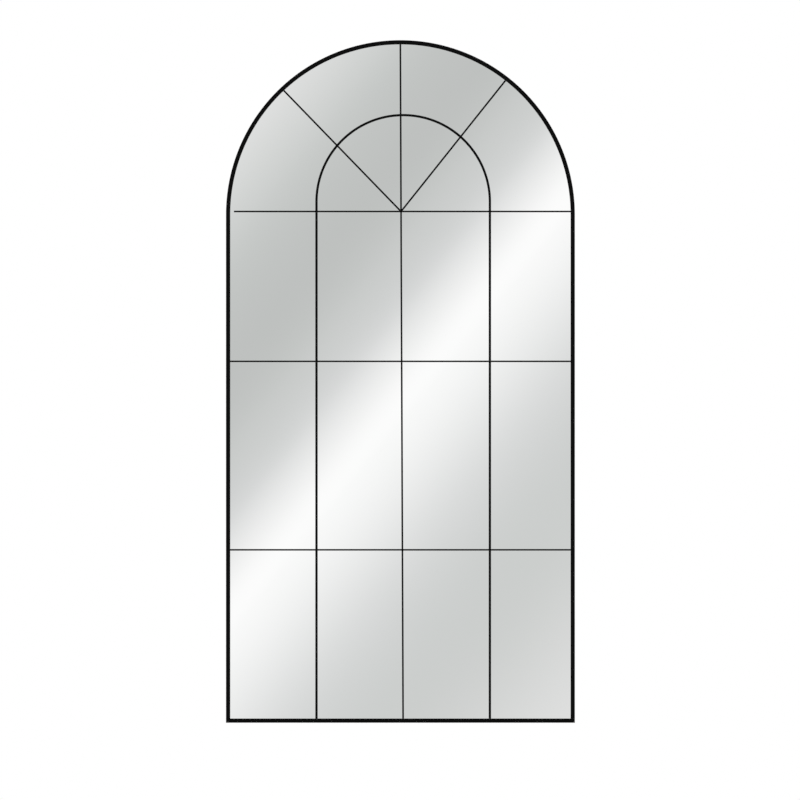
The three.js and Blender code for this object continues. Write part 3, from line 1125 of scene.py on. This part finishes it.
def retaining_clip():
    """A bent tab: one leg on the frame's side, the other over the board, with rounded corners."""
    low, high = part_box("left_clip_1")
    near = low.x + OUTER_RADIUS
    far = high.x + OUTER_RADIUS
    front, back = low.y - FRONT, high.y - FRONT
    half_length = (high.z - low.z) / 2
    inner = CLIP_BEND - CLIP_THICKNESS
    section = rounded(
        [
            (near, back),
            (near, front, CLIP_BEND),
            (far, front),
            (far, front + CLIP_THICKNESS),
            (near + CLIP_THICKNESS, front + CLIP_THICKNESS, inner),
            (near + CLIP_THICKNESS, back),
        ],
        0.15 * MM,
    )
    stations = [
        (Vector((0, 0, z)), Vector((1, 0, 0)), BACK) for z in (-half_length, half_length)
    ]
    clip = swept("clip", stations, section)
    beyond = CUT_MARGIN
    trim = [
        (near - beyond, -half_length - beyond, 0),
        (near + CLIP_BEND, -half_length - beyond, 0),
        (near + CLIP_BEND, -half_length, 0),
        (far, -half_length),
        (far, half_length),
        (near + CLIP_BEND, half_length, 0),
        (near + CLIP_BEND, half_length + beyond, 0),
        (near - beyond, half_length + beyond, 0),
    ]
    carved(clip, [blank(rounded(trim, CLIP_CORNER), front - beyond, back + beyond)], "INTERSECT")
    hole = screw_hole(start=0, end=far)
    return carved(clip, [moved(hole, AT_SCREW)])


clip_pattern = retaining_clip()
for clip_name in CLIPS:
    twin = copied(clip_pattern, f"{clip_name}_tab", station_at(clip_name))
    settled(twin, ZINC, "zinc_steel", clip_name)
bpy.data.objects.remove(clip_pattern)

HEAD_TURN = 37  # degrees from one screw's recess to the next, so that no two line up

screw_pattern = side_screw()
for i, (screw_name, matrix) in enumerate(SCREW_STATIONS.items()):
    turn = Matrix.Rotation(math.radians(HEAD_TURN * i), 4, "X")
    twin = copied(screw_pattern, f"{screw_name}_body", matrix @ AT_SCREW @ turn)
    settled(twin, ZINC, "zinc_steel", screw_name)
bpy.data.objects.remove(screw_pattern)


# ---------- hanging bar and ring hangers ----------


def steel_block(name, low, high):
    """A length of flat steel filling a box, its edges rounded all round."""
    middle = (low + high) / 2
    half = (high - low) / 2
    section = rounded(
        [(-half.x, -half.y), (half.x, -half.y), (half.x, half.y), (-half.x, half.y)], EDGE_RADIUS
    )
    block = swept(
        name,
        [
            (Vector((middle.x, middle.y, z)), Vector((1, 0, 0)), BACK)
            for z in (low.z, high.z)
        ],
        section,
    )
    soften = block.modifiers.new("soften", "BEVEL")
    soften.width = EDGE_RADIUS * 0.8
    soften.segments = 2
    soften.limit_method = "ANGLE"
    soften.angle_limit = math.radians(60)
    return applied(block)


def strap_screw_places(side):
    """Where a strap's two screws stand, as (x, z)."""
    screws = [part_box(f"{side}_hanger_screw_{i}") for i in (1, 2)]
    return [((a.x + b.x) / 2, (a.z + b.z) / 2) for a, b in screws]


def hanging_bar():
    """A flat strip across the back, welded between two end flanges that the side screws hold."""
    low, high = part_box("hanging_bar")
    bar = steel_block("hanging_strip", low, high)
    for side in ("left", "right"):
        carved(bar, bored(strap_screw_places(side), low, high, BAR_BORE_RADIUS))
    settled(bar, BLACK_STEEL, "black_steel", "hanging_bar")
    for side in ("left", "right"):
        node = f"hanging_bar_{side}_flange"
        flange = steel_block(f"{side}_bar_flange", *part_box(node))
        holes = [
            moved(screw_hole(start=SIDE_THICKNESS, end=10 * MM), SCREW_STATIONS[n] @ AT_SCREW)
            for n in BAR_SCREWS
            if side in n
        ]
        carved(flange, holes)
        settled(flange, BLACK_STEEL, "black_steel", node)
        weld_bead(side)


def weld_bead(side):
    """The fillet of weld between the strip and its flange, in low overlapping ripples."""
    low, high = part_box("hanging_bar")
    flange_low, flange_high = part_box(f"hanging_bar_{side}_flange")
    sign = -1 if side == "left" else 1
    corner = Vector((flange_high.x if sign < 0 else flange_low.x, high.y, 0))
    inwards = Vector((-sign, 0, 0))
    ripple = 1.1 * MM
    ripple_steps = 4
    ripple_height = 0.08  # of the bead's own size
    fade_steps = 6
    end_size = 0.45  # of the bead's full size
    step = ripple / ripple_steps
    count = int((high.z - low.z - 2 * ripple) / step)
    stations = []
    for i in range(count + 1):
        z = low.z + ripple + i * step
        swell = 1 + ripple_height * math.cos(2 * math.pi * i / ripple_steps)
        end_fade = min(1, (i + 1) / fade_steps, (count - i + 1) / fade_steps)
        size = swell * (end_size + (1 - end_size) * end_fade)
        stations.append((corner + Vector((0, 0, z)), inwards * size, BACK * size))
    leg = 2.0 * MM
    sunk = -0.2 * MM
    hollow = 1.4  # a fillet that sags a little below a round one
    arc = [math.radians(a) for a in (22.5, 45, 67.5)]
    section = [(sunk, sunk), (leg, sunk)]
    section += [(leg * math.cos(a) ** hollow, leg * math.sin(a) ** hollow) for a in arc]
    section += [(sunk, leg)]
    bead = swept(f"{side}_flange_weld", stations, section)
    bead.data.materials.append(BLACK_STEEL)
    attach(bead, "mirror")


def bored(points, node_low, node_high, radius):
    """Round cutters through the depth of a node, at places (x, z)."""
    beyond = 2 * MM
    length = node_high.y - node_low.y + 2 * beyond
    tools = []
    for x, z in points:
        tool = turned("bore", [(radius, 0), (radius, length)])
        at = Matrix.Translation((x, node_low.y - beyond, z))
        tools.append(moved(tool, at @ TO_BACK))
    return tools


def hanger_strap(side):
    """A strap whose top is rolled into a knuckle round the ring."""
    node = f"{side}_hanger_strap"
    low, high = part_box(node)
    half_width = (high.x - low.x) / 2
    x = (low.x + high.x) / 2
    radius = (high.y - low.y) / 2
    pivot = Vector((0, low.y + radius, high.z - radius))
    bore = radius - STRAP_THICKNESS
    middle_radius = (radius + bore) / 2
    tail_y = low.y + STRAP_THICKNESS / 2
    rolled = 300  # degrees that the knuckle goes round
    step = 10
    turns = [math.radians(180 - a) for a in range(step, rolled + 1, step)]
    path = [Vector((0, tail_y, low.z)), Vector((0, tail_y, pivot.z))]
    path += [pivot + Vector((0, math.cos(t), math.sin(t))) * middle_radius for t in turns]
    stations = []
    for i, place in enumerate(path):
        ahead = path[min(i + 1, len(path) - 1)] - path[max(i - 1, 0)]
        if i == 1:
            ahead = Vector((0, 0, 1))
        across = Vector((1, 0, 0))
        stations.append((place + Vector((x, 0, 0)), across, across.cross(ahead.normalized())))
    half = STRAP_THICKNESS / 2
    section = rounded(
        [(-half_width, -half), (half_width, -half), (half_width, half), (-half_width, half)],
        0.2 * MM,
    )
    strap = swept(f"{side}_strap", stations, section)
    beyond = CUT_MARGIN
    shoulder = high.z - 2 * radius
    trim = [
        (x - half_width, low.z),
        (x + half_width, low.z),
        (x + half_width, shoulder, 0),
        (x + half_width + beyond, shoulder, 0),
        (x + half_width + beyond, high.z + beyond, 0),
        (x - half_width - beyond, high.z + beyond, 0),
        (x - half_width - beyond, shoulder, 0),
        (x - half_width, shoulder, 0),
    ]
    tail = blank(rounded(trim, STRAP_CORNER), low.y - beyond, high.y + beyond)
    carved(strap, [tail], "INTERSECT")
    carved(strap, bored(strap_screw_places(side), low, high, STRAP_BORE_RADIUS))
    return settled(strap, ZINC, "zinc_steel", node)


def hanger_ring(side):
    """Round wire bent to a D, its two ends meeting inside the knuckle."""
    node = f"{side}_hanger_ring"
    low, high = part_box(node)
    x = (low.x + high.x) / 2
    y = (low.y + high.y) / 2
    wire = RING_WIRE / 2
    half = (high.x - low.x) / 2 - wire
    top = high.z - wire
    end_gap = 0.15 * MM

    def arc(centre_x, centre_z, radius, first, last, steps):
        for k in range(steps + 1):
            turn = math.radians(first + (last - first) * k / steps)
            yield centre_x + radius * math.cos(turn), centre_z + radius * math.sin(turn)

    corner = half - RING_CORNER
    path = [(end_gap, 0.0)]
    path += arc(corner, -RING_CORNER, RING_CORNER, 90, 0, 8)
    path += arc(0, -RING_LEG, half, 0, -180, 40)
    path += arc(-corner, -RING_CORNER, RING_CORNER, 180, 90, 8)
    path += [(-end_gap, 0.0)]
    points = [Vector((x + a, y, top + b)) for a, b in path]
    stations = []
    for i, place in enumerate(points):
        ahead = points[min(i + 1, len(points) - 1)] - points[max(i - 1, 0)]
        stations.append((place, ahead.normalized().cross(BACK), BACK))
    turns = [2 * math.pi * k / ROUND_STEPS for k in range(ROUND_STEPS)]
    section = [(wire * math.cos(t), wire * math.sin(t)) for t in turns]
    ring = swept(f"{side}_ring", stations, section)
    return settled(ring, ZINC, "zinc_steel", node, body=f"{side}_ring")


def strap_screw(side, number):
    """A pan head with a cross recess, its thread ending in the hanging bar."""
    node = f"{side}_hanger_screw_{number}"
    low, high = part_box(node)
    head_radius = (high.x - low.x) / 2
    length = high.y - low.y
    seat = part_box(f"{side}_hanger_strap")[0].y + STRAP_THICKNESS - low.y
    shank = 2 * MM
    chamfer = 0.3 * MM
    pitch = 0.7 * MM
    under_head = seat + 0.05 * MM
    crown = 0.8 * MM
    profile = [
        (TIP_RADIUS, 0),
        (shank - chamfer, 0),
        *threaded(chamfer, seat, shank, pitch),
        (shank, under_head),
        (head_radius, under_head),
        (head_radius, length - 1.4 * crown),
        (head_radius * 0.93, length - 0.8 * crown),
        (head_radius * 0.75, length - 0.35 * crown),
        (head_radius * 0.45, length - 0.08 * crown),
        (TIP_RADIUS, length),
    ]
    screw = turned(f"{node}_body", profile)
    recess = moved(
        cross_recess(width=0.7 * MM, reach=1.9 * MM, drop=1.3 * MM),
        Matrix.Translation((length, 0, 0)) @ Matrix.Rotation(math.pi, 4, "Z"),
    )
    carved(screw, [recess])
    head_turn = 25 + 50 * number  # degrees, so that the two recesses don't line up
    spin = Matrix.Rotation(math.radians(head_turn), 4, "X")
    centre = (low + high) / 2
    moved(screw, Matrix.Translation((centre.x, low.y, centre.z)) @ TO_BACK @ spin)
    return settled(screw, ZINC, "zinc_steel", node)


hanging_bar()
for hanger_side in ("left", "right"):
    hanger_strap(hanger_side)
    hanger_ring(hanger_side)
    for screw_number in (1, 2):
        strap_screw(hanger_side, screw_number)


# ---------- rubber ----------


def bumper(node):
    """A corner of moulded rubber pushed over the frame's back edge."""
    low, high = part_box(node)
    on_left = low.x < 0
    inwards = Vector((1 if on_left else -1, 0, 0))
    edge_x = low.x if on_left else high.x
    width = high.x - low.x
    back = high.y - low.y
    shelf = back - BUMPER_THICKNESS
    inner = SIDE_THICKNESS + 0.3 * MM
    leg = inner + BUMPER_THICKNESS
    soft_edge = 1 * MM
    fillet = 0.6 * MM
    section = rounded(
        [
            (0, shelf),
            (inner, shelf, 0),
            (inner, 0),
            (leg, 0, soft_edge),
            (leg, shelf, fillet),
            (width, shelf),
            (width, back, soft_edge),
            (0, back, soft_edge),
        ],
        0.3 * MM,
    )
    taper = 0.5 * MM
    end_scale = 0.96
    heights = [
        (low.z, end_scale),
        (low.z + taper, 1.0),
        (high.z - taper, 1.0),
        (high.z, end_scale),
    ]
    stations = [
        (Vector((edge_x, low.y, z)) + inwards * width * (1 - s) / 2, inwards * s, BACK)
        for z, s in heights
    ]
    piece = swept(f"{node}_block", stations, section)
    return settled(piece, RUBBER, "black_rubber", node)


for rubber_node in sorted(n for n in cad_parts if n.endswith("_bumper")):
    bumper(rubber_node)
for kept_node in ("glazing_tape", "setting_block_left", "setting_block_right"):
    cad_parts[kept_node].data.materials.clear()
    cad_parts[kept_node].data.materials.append(RUBBER)


# ---------- render settings ----------

bpy.context.scene.view_settings.view_transform = "Standard"
